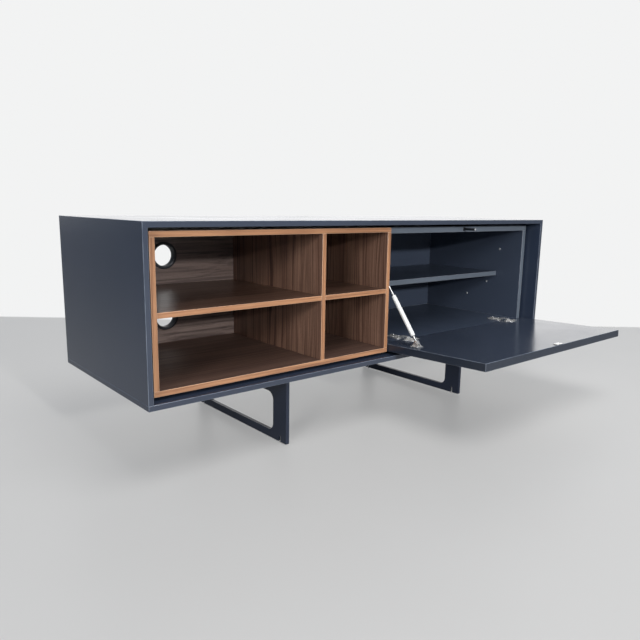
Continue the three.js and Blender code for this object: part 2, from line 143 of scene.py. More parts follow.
class CabinetColours(bpy.types.PropertyGroup):
    """Colours of the cabinet's finishes."""

    casing: colour("Casing", "Satin lacquer on the casing", (0.031, 0.043, 0.072))
    flap: colour("Flap", "Satin lacquer on the flap", (0.040, 0.050, 0.074))
    # Arris tones lighten the rounded edges: partly thinning paint, partly a painted highlight.
    casing_arris: colour("Casing arris", "Lacquer where it thins on an edge", (0.20, 0.23, 0.28))
    # The casing's forward faces are painted lighter than its faces: painted light from the front
    # lamp.
    casing_front_lit: colour("Casing lit front", "Front edges of the casing", (0.044, 0.054, 0.078))
    # The flap's narrow edges are painted darker than its faces: painted shade.
    flap_edge_shade: colour("Flap edges", "Lacquer on the flap's narrow edges", (0.022, 0.029, 0.044))
    carcass: colour("Carcass", "Matt lacquer on the carcass", (0.050, 0.065, 0.098))
    # Lighter carcass arris: partly thinning paint, partly a painted highlight.
    carcass_arris: colour("Carcass arris", "Carcass lacquer on an edge", (0.26, 0.29, 0.34))
    # The carcass boards' forward faces are painted lighter than their faces: painted light from the
    # front lamp.
    carcass_front_lit: colour("Carcass lit front", "Front edges of the carcass boards",
                         (0.125, 0.148, 0.180))
    spacer: colour("Spacers", "Strips under the modules", (0.007, 0.008, 0.010))
    leg: colour("Legs", "Powder coat on the legs", (0.015, 0.022, 0.042))
    # Lighter leg arris: partly worn powder coat, partly a painted highlight.
    leg_arris: colour("Leg arris", "Powder coat on an edge", (0.06, 0.08, 0.11))
    walnut_light: colour("Walnut, light", "Early wood of the veneer", (0.345, 0.200, 0.138))
    walnut_middle: colour("Walnut, middle", "Ground colour of the veneer", (0.228, 0.124, 0.086))
    walnut_dark: colour("Walnut, dark", "Late wood and streaks", (0.065, 0.031, 0.022))
    back_light: colour("Back, light", "Early wood of the back panel", (0.215, 0.160, 0.140))
    back_middle: colour("Back, middle", "Ground colour of the back panel", (0.140, 0.100, 0.087))
    back_dark: colour("Back, dark", "Late wood of the back panel", (0.055, 0.038, 0.034))
    lipping: colour("Lipping", "Front edges of the walnut boards", (0.470, 0.235, 0.118))
    lipping_line: colour("Lipping grain", "Dark grain in the lipping", (0.205, 0.088, 0.044))
    # Paler lipping arris: a painted highlight on the rounded front edges.
    lipping_arris: colour("Lipping arris", "Rounded edges of the lipping", (0.66, 0.42, 0.27))
    nickel: colour("Nickel", "Plated fittings", (0.80, 0.79, 0.77))
    steel: colour("Steel", "Polished rod and pins", (0.80, 0.80, 0.79))
    enamel: colour("Enamel", "Tube of the gas stay", (0.83, 0.84, 0.82))
    dark_plastic: colour("Dark plastic", "Cable outlets and latch", (0.013, 0.015, 0.020))
    grey_plastic: colour("Grey plastic", "Blanking caps", (0.42, 0.43, 0.45))


class CabinetSizes(bpy.types.PropertyGroup):
    """Small sizes that only the finished surface has."""

    board_arris: distance("Board arris", "Rounding of the boards' edges", 0.0010)
    leg_arris: distance("Leg arris", "Rounding of the leg plates' edges", 0.0007)
    metal_arris: distance("Fitting arris", "Rounding of the fittings' edges", 0.0003)
    arris_steps: IntProperty(name="Arris steps", description="Faces across a rounded edge",
                             min=1, max=8, default=3)
    turning_steps: IntProperty(name="Turning steps", description="Faces round a turned piece",
                               min=16, max=128, default=56)


class CabinetStage(bpy.types.PropertyGroup):
    """Camera, floor and lights."""

    camera_place: FloatVectorProperty(
        name="Camera place", description="Where the camera stands", subtype="TRANSLATION",
        unit="LENGTH", size=3, default=(-1.262739, -1.267132, 0.615656))
    camera_heading: FloatProperty(
        name="Heading", description="Turn of the camera from +Y towards +X", subtype="ANGLE",
        default=math.radians(40.1505))
    camera_pitch: FloatProperty(
        name="Pitch", description="How far the camera looks down", subtype="ANGLE",
        default=math.radians(10.639))
    camera_roll: FloatProperty(
        name="Roll", description="Tilt of the camera about its own line of sight",
        subtype="ANGLE", default=math.radians(0.958))
    camera_lens: FloatProperty(
        name="Lens", description="Focal length on a 36 mm sensor, in millimetres",
        default=34.05)
    floor_tone: colour("Floor", "Plain pale floor", (0.50, 0.49, 0.475))
    surround_tone: colour("Surround", "Pale surround and backdrop", (0.89, 0.895, 0.895))
    room_tone: colour("Room", "Dim room that the cabinet's front and sides reflect",
                      (0.16, 0.185, 0.225))
    glow_tone: colour("Glow", "Lit wall that its top and flap reflect", (1.0, 1.0, 1.0))
    glow: FloatProperty(name="Glow strength", description="How bright the lit wall is", min=0,
                        default=1.55)
    backdrop_start: distance("Backdrop", "Where the floor turns into the pale backdrop", 1.42)
    floor_lift: FloatProperty(
        name="Floor lift", description="Share of the surround's tone that lightens the floor",
        min=0, max=1, default=0.25)
    sweep_start: distance("Sweep", "Where the floor begins to fade away all round", 2.3)
    front_light: FloatProperty(name="Front light", description="Power of the front light",
                               unit="POWER", default=165)
    overhead_light: FloatProperty(name="Overhead light", description="Power of the light above",
                                  unit="POWER", default=55)
    side_light: FloatProperty(name="Side light", description="Power of the light at the left",
                              unit="POWER", default=62)


GROUPS = {"cabinet_colours": CabinetColours, "cabinet_sizes": CabinetSizes,
          "cabinet_stage": CabinetStage}


# ------------------------------------------------------------------ shader helpers

def add_node(tree, kind, inputs=None, **settings):
    """Adds a node, with sockets set to values or linked from other sockets."""
    node = tree.nodes.new(kind)
    for key, value in settings.items():
        setattr(node, key, value)
    for key, value in (inputs or {}).items():
        if isinstance(value, bpy.types.NodeSocket):
            tree.links.new(value, node.inputs[key])
        else:
            node.inputs[key].default_value = value
    return node


def opaque(tone):
    return (*tone, 1.0)


def mix_colour(tree, factor, first, second):
    mix = add_node(tree, "ShaderNodeMix", {0: factor, 6: first, 7: second}, data_type="RGBA")
    return mix.outputs[2]


def remap(tree, value, low, high, to_low=0.0, to_high=1.0):
    node = add_node(tree, "ShaderNodeMapRange", {"Value": value, "From Min": low, "From Max": high,
                                                 "To Min": to_low, "To Max": to_high})
    return node.outputs["Result"]


def arithmetic(tree, operation, first, second):
    return add_node(tree, "ShaderNodeMath", {0: first, 1: second}, operation=operation).outputs[0]


def stretched(tree, vector, scale):
    """Coordinates scaled by a different amount on each axis, in cycles per metre."""
    return add_node(tree, "ShaderNodeVectorMath", {0: vector, 1: scale},
                    operation="MULTIPLY").outputs[0]


def noise(tree, vector, scale, detail=2.0, roughness=0.5, distortion=0.0):
    node = add_node(tree, "ShaderNodeTexNoise", {"Vector": vector, "Scale": scale,
                                                 "Detail": detail, "Roughness": roughness,
                                                 "Distortion": distortion})
    return node.outputs["Fac"]


def attribute(tree, name, output="Fac"):
    return add_node(tree, "ShaderNodeAttribute", attribute_name=name).outputs[output]


def object_coordinates(tree):
    return add_node(tree, "ShaderNodeTexCoord").outputs["Object"]


def along_heading(tree, vector, heading):
    """How far a place or a direction reaches along a heading turned from +Y towards +X."""
    return add_node(tree, "ShaderNodeVectorMath",
                    {0: vector, 1: (math.sin(heading), math.cos(heading), 0)},
                    operation="DOT_PRODUCT").outputs["Value"]


def start_group(name, inputs, outputs):
    """A shader node group with named sockets: (name, kind, default) going in, (name, kind) out."""
    group = bpy.data.node_groups.new(name, "ShaderNodeTree")
    for label, kind, default in inputs:
        socket = group.interface.new_socket(label, in_out="INPUT", socket_type="NodeSocket" + kind)
        if default is not None:
            socket.default_value = default
    for label, kind in outputs:
        group.interface.new_socket(label, in_out="OUTPUT", socket_type="NodeSocket" + kind)
    return group, add_node(group, "NodeGroupInput").outputs, add_node(group, "NodeGroupOutput")


def film_group():
    """The skin of a sprayed, moulded or plated surface: fine orange peel and uneven gloss."""
    group, given, result = start_group(
        "Surface film",
        [("Coordinates", "Vector", None), ("Peel scale", "Float", 900.0),
         ("Roughness", "Float", 0.4), ("Spread", "Float", 0.06)],
        [("Height", "Float"), ("Roughness", "Float")])
    peel = noise(group, given["Coordinates"], given["Peel scale"], 2.0)
    smudge = noise(group, given["Coordinates"], 5.0, 3.0, 0.55, 0.4)
    fine = noise(group, given["Coordinates"], 160.0, 2.0)
    uneven = arithmetic(group, "ADD", remap(group, smudge, 0.3, 0.7, -1.0, 1.0),
                        remap(group, fine, 0.3, 0.7, -0.3, 0.3))
    change = arithmetic(group, "MULTIPLY", uneven, given["Spread"])
    roughness = arithmetic(group, "ADD", given["Roughness"], change)
    group.links.new(peel, result.inputs["Height"])
    group.links.new(roughness, result.inputs["Roughness"])
    return group


def arris_group():
    """Paint that thins and lightens, unevenly, on the rounded edges, partly worn paint and partly a
    painted highlight, with faint clouding. Faces marked as lipping and painted light take the
    painted light and shade colour.
    """
    group, given, result = start_group(
        "Worn arris",
        [("Coordinates", "Vector", None), ("Colour", "Color", None),
         ("Band colour", "Color", None), ("Arris colour", "Color", None),
         ("Wear", "Float", 0.7)],
        [("Colour", "Color")])
    # The arris share mixes the colour towards the arris colour: partly thinning paint, partly a
    # painted highlight on the rounded edges.
    patches = remap(group, noise(group, given["Coordinates"], 24.0, 4.0, 0.6), 0.25, 0.55)
    share = arithmetic(group, "MULTIPLY", attribute(group, "arris"),
                       arithmetic(group, "MULTIPLY", patches, given["Wear"]))
    cloud = remap(group, noise(group, given["Coordinates"], 2.6, 3.0), 0.3, 0.7, 0.93, 1.07)
    # Marked faces take the painted light and shade colour: painted front light on the casing and
    # carcass, painted shade on the flap's narrow edges.
    ground = mix_colour(group, attribute(group, "front_band"), given["Colour"],
                        given["Band colour"])
    clouded = add_node(group, "ShaderNodeVectorMath", {0: ground, 1: cloud},
                       operation="MULTIPLY").outputs[0]
    group.links.new(mix_colour(group, share, clouded, given["Arris colour"]),
                    result.inputs["Colour"])
    return group


def walnut_group():
    """Walnut veneer. Its coordinates run along the grain in X, across it in Y and Z."""
    group, given, result = start_group(
        "Walnut figure",
        [("Grain", "Vector", None), ("Light", "Color", None), ("Middle", "Color", None),
         ("Dark", "Color", None)],
        [("Colour", "Color"), ("Height", "Float"), ("Roughness", "Float")])
    grain = given["Grain"]
    drift = noise(group, stretched(group, grain, (1.1, 5.0, 5.0)), 1.0, 3.0, 0.5, 0.6)
    bent = add_node(group, "ShaderNodeVectorMath", {
        0: grain, 1: add_node(group, "ShaderNodeCombineXYZ", {
            "Y": arithmetic(group, "MULTIPLY", drift, 0.075)}).outputs[0]},
        operation="ADD").outputs[0]
    stripes = noise(group, stretched(group, bent, (1.6, 140.0, 140.0)), 1.0, 3.0, 0.62, 0.25)
    bands = noise(group, stretched(group, bent, (0.7, 22.0, 22.0)), 1.0, 2.0, 0.5, 0.3)
    fibres = noise(group, stretched(group, grain, (18.0, 620.0, 620.0)), 1.0, 3.0, 0.6)
    pores = noise(group, stretched(group, grain, (85.0, 1700.0, 1700.0)), 1.0, 1.0)
    pore_mask = remap(group, pores, 0.60, 0.70)
    ground = mix_colour(group, remap(group, bands, 0.34, 0.66), given["Middle"], given["Light"])
    streaked = mix_colour(group, remap(group, stripes, 0.45, 0.66, 0.0, 0.95), ground,
                          given["Dark"])
    fibrous = mix_colour(group, remap(group, fibres, 0.35, 0.72, 0.0, 0.35), streaked,
                         given["Dark"])
    pored = mix_colour(group, arithmetic(group, "MULTIPLY", pore_mask, 0.55), fibrous,
                       given["Dark"])
    height = arithmetic(group, "SUBTRACT", arithmetic(group, "MULTIPLY", fibres, 0.5), pore_mask)
    roughness = remap(group, stripes, 0.3, 0.7, 0.27, 0.38)
    group.links.new(pored, result.inputs["Colour"])
    group.links.new(height, result.inputs["Height"])
    group.links.new(roughness, result.inputs["Roughness"])
    return group


def shared_group(name, maker):
    return bpy.data.node_groups.get(name) or maker()


def place_group(tree, group, inputs):
    return add_node(tree, "ShaderNodeGroup", inputs, node_tree=group).outputs


def start_material(name):
    material = bpy.data.materials.new(name)
    material.use_nodes = True
    tree = material.node_tree
    return material, tree, tree.nodes["Principled BSDF"]


def bump(tree, shader, height, depth, strength=1.0):
    node = add_node(tree, "ShaderNodeBump", {"Height": height, "Distance": depth,
                                             "Strength": strength})
    tree.links.new(node.outputs["Normal"], shader.inputs["Normal"])


def coated(name, tone, arris_tone, roughness, spread, peel_scale, peel_depth, wear_and_highlight=0.7,
           light_and_shade_tone=None):
    """A sprayed, painted or moulded surface whose edges are a little lighter, partly as worn paint
    and partly as a painted highlight; where a light and shade tone is given, the faces marked for
    it take that tone as painted light and shade. The spread is how far the roughness wanders, the
    peel scale is in cycles per metre, and the peel depth in metres."""
    _, tree, shader = start_material(name)
    coordinates = object_coordinates(tree)
    film = place_group(tree, shared_group("Surface film", film_group),
                       {"Coordinates": coordinates, "Peel scale": peel_scale,
                        "Roughness": roughness, "Spread": spread})
    arris = place_group(tree, shared_group("Worn arris", arris_group),
                        {"Coordinates": coordinates, "Colour": opaque(tone),
                         "Band colour": opaque(light_and_shade_tone or tone),
                         "Arris colour": opaque(arris_tone), "Wear": wear_and_highlight})
    tree.links.new(arris["Colour"], shader.inputs["Base Color"])
    tree.links.new(film["Roughness"], shader.inputs["Roughness"])
    bump(tree, shader, film["Height"], peel_depth)
    return shader


def metal(name, tone, metallic, roughness, spread, peel_scale, peel_depth):
    """A bright metal surface with a slightly uneven polish."""
    shader = coated(name, tone, tone, roughness, spread, peel_scale, peel_depth, wear_and_highlight=0.0)
    shader.inputs["Metallic"].default_value = metallic


def walnut(name, light, middle_tone, dark, lipping, lipping_line, lipping_arris):
    """Veneer on the boards' faces, darkened as painted shade where they lie level, and a paler
    solid lipping along their front edges, lightened on its rounded edges as a painted highlight.
    """
    _, tree, shader = start_material(name)
    grain = attribute(tree, "grain", "Vector")
    figure = place_group(tree, shared_group("Walnut figure", walnut_group),
                         {"Grain": grain, "Light": opaque(light), "Middle": opaque(middle_tone),
                          "Dark": opaque(dark)})
    streaks = noise(tree, stretched(tree, grain, (4.0, 260.0, 260.0)), 1.0, 3.0, 0.7)
    drift = noise(tree, stretched(tree, grain, (9.0, 9.0, 9.0)), 1.0, 2.0)
    lined = mix_colour(tree, remap(tree, streaks, 0.42, 0.66, 0.0, 0.85), opaque(lipping),
                       opaque(lipping_line))
    drifted = mix_colour(tree, remap(tree, drift, 0.40, 0.72, 0.0, 0.35), lined,
                         opaque(lipping_line))
    # The lipping's rounded edges are mixed towards the paler arris tone: a painted highlight.
    pale = mix_colour(tree, arithmetic(tree, "MULTIPLY", attribute(tree, "arris"), 0.6), drifted,
                      opaque(lipping_arris))
    # Faces that lie level are darkened towards the dark tone: painted shade.
    level_shaded = mix_colour(tree, arithmetic(tree, "MULTIPLY", attribute(tree, "level"), 0.68),
                        figure["Colour"], opaque(channel * 0.6 for channel in dark))
    tree.links.new(mix_colour(tree, attribute(tree, "front_band"), level_shaded, pale),
                   shader.inputs["Base Color"])
    dulled = arithmetic(tree, "MULTIPLY", attribute(tree, "worn"), 0.28)
    tree.links.new(arithmetic(tree, "ADD", figure["Roughness"], dulled),
                   shader.inputs["Roughness"])
    bump(tree, shader, figure["Height"], 0.00006, 0.6)


def finishes():
    """All of the cabinet's materials, keyed by the record's slot. They are made once."""
    tones = bpy.context.scene.cabinet_colours
    if "Casing lacquer" not in bpy.data.materials:
        # The arris tones are partly a painted highlight; the light and shade tones paint front
        # light on the casing and carcass, and shade on the flap's edges.
        coated("Casing lacquer", tones.casing, tones.casing_arris, 0.21, 0.03, 700.0, 0.000015,
               light_and_shade_tone=tones.casing_front_lit)
        coated("Flap lacquer", tones.flap, tones.casing_arris, 0.21, 0.03, 700.0, 0.000015,
               light_and_shade_tone=tones.flap_edge_shade)
        coated("Carcass lacquer", tones.carcass, tones.carcass_arris, 0.38, 0.05, 600.0, 0.00003,
               light_and_shade_tone=tones.carcass_front_lit)
        coated("Spacer board", tones.spacer, tones.spacer, 0.75, 0.1, 240.0, 0.00015)
        coated("Leg powder coat", tones.leg, tones.leg_arris, 0.40, 0.05, 1100.0, 0.00005)
        metal("Nickel plate", tones.nickel, 0.75, 0.28, 0.08, 420.0, 0.00003)
        metal("Polished steel", tones.steel, 0.8, 0.22, 0.05, 500.0, 0.00001)
        coated("White enamel", tones.enamel, tones.enamel, 0.30, 0.05, 500.0, 0.00002)
        # The lighter arris tone here is partly worn plastic, partly a painted highlight on the
        # rounded edges.
        coated("Dark plastic", tones.dark_plastic, (0.05, 0.055, 0.065), 0.42, 0.06, 900.0,
               0.00004)
        coated("Grey plastic", tones.grey_plastic, tones.grey_plastic, 0.45, 0.05, 800.0, 0.00003)
        walnut("Walnut veneer", tones.walnut_light, tones.walnut_middle, tones.walnut_dark,
               tones.lipping, tones.lipping_line, tones.lipping_arris)
        walnut("Walnut back veneer", tones.back_light, tones.back_middle, tones.back_dark,
               tones.back_light, tones.back_middle, tones.back_light)
    named = {
        "casing_lacquer": "Casing lacquer", "carcass_lacquer": "Carcass lacquer",
        "spacer_board": "Spacer board", "leg_paint": "Leg powder coat",
        "nickel": "Nickel plate", "polished_steel": "Polished steel",
        "white_enamel": "White enamel", "dark_plastic": "Dark plastic",
        "grey_plastic": "Grey plastic", "walnut": "Walnut veneer",
        "walnut_back_panel": "Walnut back veneer",
    }
    return {slot: bpy.data.materials[name] for slot, name in named.items()}


# ------------------------------------------------------------------ mesh helpers

def is_sharp(edge, limit=SHARP):
    return len(edge.link_faces) == 2 and edge.calc_face_angle() > limit


def arris_layer(bm):
    return bm.faces.layers.float.get("arris") or bm.faces.layers.float.new("arris")


def soften(bm, edges, width, steps):
    """Rounds edges, and notes the new faces as arris faces."""
    arris_layer(bm)
    made = bmesh.ops.bevel(bm, geom=edges, offset=width, segments=steps, affect="EDGES",
                           profile=0.5, material=-1, clamp_overlap=True)
    layer = arris_layer(bm)
    for face in made["faces"]:
        face[layer] = 1.0


def shade(bm):
    """Smooth shading everywhere, but with a crease at each sharp edge and beside each arris."""
    layer = arris_layer(bm)
    for face in bm.faces:
        face.smooth = True
    for edge in bm.edges:
        sides = {face[layer] for face in edge.link_faces}
        edge.smooth = len(sides) == 1 and not is_sharp(edge, CREASED)


def block(low, high):
    bm = bmesh.new()
    bmesh.ops.create_cube(bm, size=1)
    bmesh.ops.scale(bm, vec=high - low, verts=bm.verts)
    bmesh.ops.translate(bm, vec=(low + high) / 2, verts=bm.verts)
    return bm


def moved(bm, matrix):
    bmesh.ops.transform(bm, matrix=matrix, verts=bm.verts)
    return bm


def solid_copy(node, matrix=IDENTITY):
    """A clean copy of a node's solid, with its flat faces whole again."""
    bm = bmesh.new()
    bm.from_mesh(NODES[node].data)
    bmesh.ops.remove_doubles(bm, verts=bm.verts, dist=MERGE_DISTANCE)
    moved(bm, matrix)
    bmesh.ops.dissolve_limit(bm, angle_limit=math.radians(0.5), verts=bm.verts, edges=bm.edges)
    return bm


def turned(profile, steps, matrix=IDENTITY):
    """A solid turned about +Z from (radius, height) points in millimetres."""
    bm = bmesh.new()
    closed = profile[0] == profile[-1]
    points = profile[:-1] if closed else profile
    verts = [bm.verts.new((radius * MM, 0, height * MM)) for radius, height in points]
    edges = [bm.edges.new(pair) for pair in zip(verts, verts[1:])]
    if closed:
        edges.append(bm.edges.new((verts[-1], verts[0])))
    bmesh.ops.spin(bm, geom=verts + edges, cent=(0, 0, 0), axis=(0, 0, 1),
                   angle=2 * math.pi, steps=steps, use_merge=True)
    bmesh.ops.remove_doubles(bm, verts=bm.verts, dist=MERGE_DISTANCE)
    bmesh.ops.recalc_face_normals(bm, faces=bm.faces)
    return moved(bm, matrix)


def pointing(place, direction):
    """A matrix that puts what was made about +Z at a place, along a direction."""
    return Matrix.Translation(place) @ direction.to_track_quat("Z", "Y").to_matrix().to_4x4()


def turning_place(node, direction):
    """For a turned node: the place and turn of the end that faces against a direction along X or Y,
    and the node's length and radius in millimetres."""
    low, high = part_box(node)
    along, across = (0, 2) if direction.x else (1, 0)
    start = middle(node)
    start[along] = low[along] if direction[along] > 0 else high[along]
    length = (high[along] - low[along]) / MM
    radius = (high[across] - low[across]) / 2 / MM
    return pointing(start, direction), length, radius


def merged(*parts):
    """One mesh from several."""
    whole = parts[0]
    arris_layer(whole)
    for part in parts[1:]:
        arris_layer(part)
        mesh = bpy.data.meshes.new("part")
        part.to_mesh(mesh)
        part.free()
        whole.from_mesh(mesh)
        bpy.data.meshes.remove(mesh)
    return whole


def screw_head(place, direction, radius, height, steps=16):
    """A low domed screw head with a cross recess. Sizes are in millimetres."""
    bm = bmesh.new()
    bmesh.ops.create_circle(bm, cap_ends=True, cap_tris=True, segments=steps,
                            radius=0.62 * radius * MM)
    bmesh.ops.translate(bm, vec=Z * height * MM, verts=bm.verts)
    rim = [edge for edge in bm.edges if edge.is_boundary]
    for scale, drop in ((1.32, 0.22), (1.16, 0.45), (1.05, 0.33)):
        made = bmesh.ops.extrude_edge_only(bm, edges=rim)
        ring = [item for item in made["geom"] if isinstance(item, bmesh.types.BMVert)]
        rim = [item for item in made["geom"] if isinstance(item, bmesh.types.BMEdge)
               and item.is_boundary]
        bmesh.ops.scale(bm, vec=(scale, scale, 1), verts=ring)
        bmesh.ops.translate(bm, vec=-Z * drop * height * MM, verts=ring)
    bmesh.ops.contextual_create(bm, geom=rim)
    arms = []
    for face in bm.faces:
        centre = face.calc_center_median()
        if len(face.verts) == 3:
            turn = math.degrees(math.atan2(centre.y, centre.x)) % 90
            if turn < 22.5 or turn > 67.5:
                arms.append(face)
    made = bmesh.ops.extrude_face_region(bm, geom=arms)
    deep = [item for item in made["geom"] if isinstance(item, bmesh.types.BMVert)]
    bmesh.ops.delete(bm, geom=arms, context="FACES")
    bmesh.ops.translate(bm, vec=-Z * 0.7 * height * MM, verts=deep)
    bmesh.ops.recalc_face_normals(bm, faces=bm.faces)
    return moved(bm, pointing(place, direction))


def note_front(bm):
    """Notes which faces look forward, where a walnut board has its lipping and a lacquered board
    its painted front light, and which lie level, where walnut is darkened as painted shade.
    """
    band = bm.faces.layers.float.new("front_band")
    level = bm.faces.layers.float.new("level")
    for face in bm.faces:
        # Forward faces are marked: real lipping on walnut boards, painted front light on lacquered
        # boards.
        face[band] = 1.0 if face.normal.y < -0.3 else 0.0
        face[level] = 1.0 if abs(face.normal.z) > 0.7 else 0.0


def note_grain(bm, along, offset):
    """Stores each point's place along and across the grain, shifted so no two boards match."""
    across = {0: (1, 2), 2: (1, 0)}[along]
    layer = bm.verts.layers.float_vector.new("grain")
    for vert in bm.verts:
        vert[layer] = Vector((vert.co[along], vert.co[across[0]], vert.co[across[1]])) + offset


def add_piece(name, bm, body, slot, replaces=()):
    """Turns a finished bmesh into an object that rides on a body."""
    shade(bm)
    mesh = bpy.data.meshes.new(name)
    bm.to_mesh(mesh)
    bm.free()
    piece = bpy.data.objects.new(name, mesh)
    bpy.context.scene.collection.objects.link(piece)
    mesh.materials.append(finishes()[slot])
    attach(piece, body)
    if replaces:
        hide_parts(*replaces)
    return piece


def stand_for(node, suffix, bm):
    """The finished piece that stands for one node, on that node's body and in its finish."""
    return add_piece(f"{node}_{suffix}", bm, NODES[node]["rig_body"], SLOTS[node], [node])


def add_screws(name, body, places, direction, radius, height, matrix=IDENTITY):
    """Several screw heads as one piece, at places that a matrix then moves."""
    heads = merged(*(screw_head(Vector(place), direction, radius, height) for place in places))
    add_piece(name, moved(heads, matrix), body, "polished_steel")


def across_x(edge):
    """Whether an edge lies in a plane that faces along X, as a bent plate's outline does."""
    return abs(edge.verts[0].co.x - edge.verts[1].co.x) < TOUCHING


def on_outer_edge(edge, low, high):
    """Whether an edge lies along one of the twelve edges of a box."""
    shared = 0
    for axis in range(3):
        for side in (low[axis], high[axis]):
            if all(abs(vert.co[axis] - side) < TOUCHING for vert in edge.verts):
                shared += 1
    return shared >= 2


def softened_board(node, matrix=IDENTITY, crisp=()):
    """A board with its outer edges rounded. What is cut into it, and the edges round its top or
    bottom face where that is glued to another board, stay crisp."""
    sizes = bpy.context.scene.cabinet_sizes
    bm = solid_copy(node, matrix)
    low, high = box_in(node, matrix)
    glued = [{"top": high.z, "bottom": low.z}[side] for side in crisp]
    outer = [edge for edge in bm.edges if on_outer_edge(edge, low, high) and not any(
        all(abs(vert.co.z - level) < TOUCHING for vert in edge.verts) for level in glued)]
    soften(bm, outer, sizes.board_arris, sizes.arris_steps)
    return bm


def softened_turning(profile, matrix, width=None):
    """A turned fitting with its sharp rings rounded."""
    sizes = bpy.context.scene.cabinet_sizes
    bm = turned(profile, sizes.turning_steps)
    rings = [edge for edge in bm.edges if is_sharp(edge)]
    soften(bm, rings, width or sizes.metal_arris, 2)
    return moved(bm, matrix)


def softened_fitting(node, keep=lambda edge: True, matrix=IDENTITY, width=None):
    """A metal fitting with the chosen sharp edges rounded."""
    sizes = bpy.context.scene.cabinet_sizes
    bm = solid_copy(node, matrix)
    chosen = [edge for edge in bm.edges if is_sharp(edge) and keep(edge)]
    soften(bm, chosen, width or sizes.metal_arris, 2)
    return bm


def softened_plate(node, direction, corner, corner_steps, width, steps, matrix=IDENTITY):
    """A flat plate with its corners rounded about a direction, and then its edges."""
    bm = block(*box_in(node, matrix))
    corners = [edge for edge in bm.edges if abs(
        (edge.verts[0].co - edge.verts[1].co).normalized().dot(direction)) > 0.9]
    bmesh.ops.bevel(bm, geom=corners, offset=corner, segments=corner_steps, affect="EDGES",
                    profile=0.5, material=-1)
    soften(bm, [edge for edge in bm.edges if is_sharp(edge)], width, steps)
    return bm


# ------------------------------------------------------------------ the cabinet's pieces

class AddCasing(bpy.types.Operator):
    """Four lacquered boards, and the strips that hold the modules up off the bottom board"""

    bl_idname = "cabinet.add_casing"
    bl_label = "Casing and spacers"

    def execute(self, context):
        glued = {"casing_top": ("bottom",), "casing_left_side": ("top", "bottom"),
                 "casing_right_side": ("top", "bottom")}
        for node in ("casing_top", "casing_bottom", "casing_left_side", "casing_right_side",
                     "walnut_spacer_front", "walnut_spacer_rear",
                     "carcass_spacer_front", "carcass_spacer_rear"):
            bm = softened_board(node, crisp=glued.get(node, ()))
            note_front(bm)
            stand_for(node, "board", bm)
        return {"FINISHED"}


class AddLegs(bpy.types.Operator):
    """Two loop legs cut from flat plate, with a levelling glide in the slot of each foot"""

    bl_idname = "cabinet.add_legs"
    bl_label = "Legs and glides"

    def execute(self, context):
        sizes = context.scene.cabinet_sizes
        for side in ("left", "right"):
            node = f"leg_{side}"
            bm = solid_copy(node)
            low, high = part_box(node)
            outline = [edge for edge in bm.edges if is_sharp(edge) and any(
                all(abs(vert.co.x - face) < TOUCHING for vert in edge.verts)
                for face in (low.x, high.x))]
            soften(bm, outline, sizes.leg_arris, 2)
            stand_for(node, "plate", bm)
            for end in ("front", "rear"):
                self.add_glide(f"glide_{side}_{end}")
        return {"FINISHED"}

    def add_glide(self, node):
        low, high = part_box(node)
        height = (high.z - low.z) / MM
        foot, foot_height, stud, pitch = 4.2, 6.0, 2.8, 0.8
        profile = [(0, 0), (foot - 1.0, 0), (foot, 1.0), (foot, foot_height - 0.6),
                   (foot - 0.6, foot_height), (stud - 0.3, foot_height)]
        turns = int((height - foot_height - 1.5) / pitch)
        for turn in range(turns):
            start = foot_height + 0.3 + turn * pitch
            profile += [(stud - 0.35, start), (stud, start + pitch / 2)]
        profile += [(stud - 0.35, height - 0.6), (stud - 0.9, height), (0, height)]
        centre = middle(node)
        bm = turned(profile, 40, Matrix.Translation((centre.x, centre.y, low.z)))
        stand_for(node, "stud", bm)


class AddWalnutModule(bpy.types.Operator):
    """The walnut boards, with upright grain in the sides and divider and level grain elsewhere"""

    bl_idname = "cabinet.add_walnut_module"
    bl_label = "Walnut module"

    def execute(self, context):
        upright = ("walnut_left_side", "walnut_right_side", "walnut_divider")
        level = ("walnut_top", "walnut_bottom", "walnut_shelf_left", "walnut_shelf_right",
                 "walnut_back")
        for number, node in enumerate(upright + level):
            bm = softened_board(node)
            offset = Vector((1.7 * number, 0.43 * number, 0.61 * number))
            note_grain(bm, 2 if node in upright else 0, offset)
            if node != "walnut_back":
                note_front(bm)
            worn = bm.faces.layers.float.new("worn")
            for face in bm.faces:
                face[worn] = 1.0 if node == "walnut_bottom" else 0.0
            stand_for(node, "board", bm)
        return {"FINISHED"}


class AddCableOutlets(bpy.types.Operator):
    """Flanged rings that line the two holes in the walnut back"""

    bl_idname = "cabinet.add_cable_outlets"
    bl_label = "Cable outlets"

    def execute(self, context):
        for node in ("cable_outlet_upper", "cable_outlet_lower"):
            place, depth, flange = turning_place(node, Y)
            bore, body, lip, arris = 30.5, 32.6, 2.3, 0.2
            profile = [(bore, 1.4), (bore + 0.5, 0.4), (bore + 1.4, 0), (flange - 2.6, 0),
                       (flange - 0.8, 0.5), (flange, 1.3), (flange, lip), (body, lip),
                       (body, depth - 0.5), (body - 0.5, depth), (bore, depth), (bore, 1.4)]
            stand_for(node, "ring", softened_turning(profile, place, arris * MM))
        return {"FINISHED"}


class AddCarcass(bpy.types.Operator):
    """The lacquered carcass boards and the loose shelf behind the flap"""

    bl_idname = "cabinet.add_carcass"
    bl_label = "Carcass"

    def execute(self, context):
        for node in ("carcass_top", "carcass_bottom", "carcass_left_side", "carcass_right_side",
                     "carcass_back", "carcass_shelf"):
            bm = softened_board(node)
            if node != "carcass_back":
                note_front(bm)
            stand_for(node, "board", bm)
        return {"FINISHED"}


